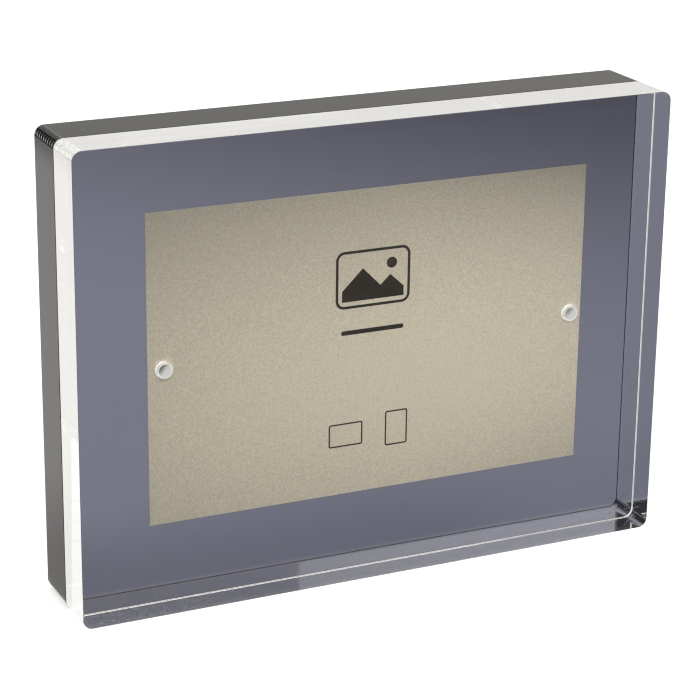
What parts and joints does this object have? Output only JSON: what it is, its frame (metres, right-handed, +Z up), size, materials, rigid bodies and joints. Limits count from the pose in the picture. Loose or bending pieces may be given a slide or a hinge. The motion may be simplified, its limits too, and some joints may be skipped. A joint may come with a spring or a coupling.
{
  "type": "acrylic block photo frame",
  "caption": "Free-standing photo frame of a clear and a smoke-grey acrylic block that clamp a photo card between them with hidden disc magnets.",
  "frame": {"origin": "middle of the closed frame's footprint, on the surface it stands on: mid-width, mid-depth, z = 0 at the lowest faces", "axes": "+X to the viewer's right along the width, -Y out of the picture side towards the viewer, +Z up"},
  "size_m": [0.2032, 0.0344, 0.1524],
  "materials": {
    "clear_acrylic": "flame-polished clear cast acrylic",
    "smoke_acrylic": "flame-polished smoke-grey cast acrylic",
    "card": "matt printed card with a fine mottle",
    "nickel": "bright nickel plate",
    "glue": "clear cured adhesive"
  },
  "bodies": {
    "root": {"rear_block": "smoke_acrylic", "rear_magnet_left": "nickel", "rear_magnet_right": "nickel", "rear_glue_left": "glue", "rear_glue_right": "glue"},
    "front": {"front_block": "clear_acrylic", "front_magnet_left": "nickel", "front_magnet_right": "nickel", "front_glue_left": "glue", "front_glue_right": "glue"},
    "card": {"photo_card": "card"}
  },
  "joints": [
    {"name": "front_pull_off", "type": "slide", "parent": "root", "child": "front", "axis": [0, -1, 0], "range_m": [0, 0.04]},
    {"name": "card_lift_out", "type": "slide", "parent": "root", "child": "card", "axis": [0, 0, 1], "range_m": [0, 0.13]}
  ]
}
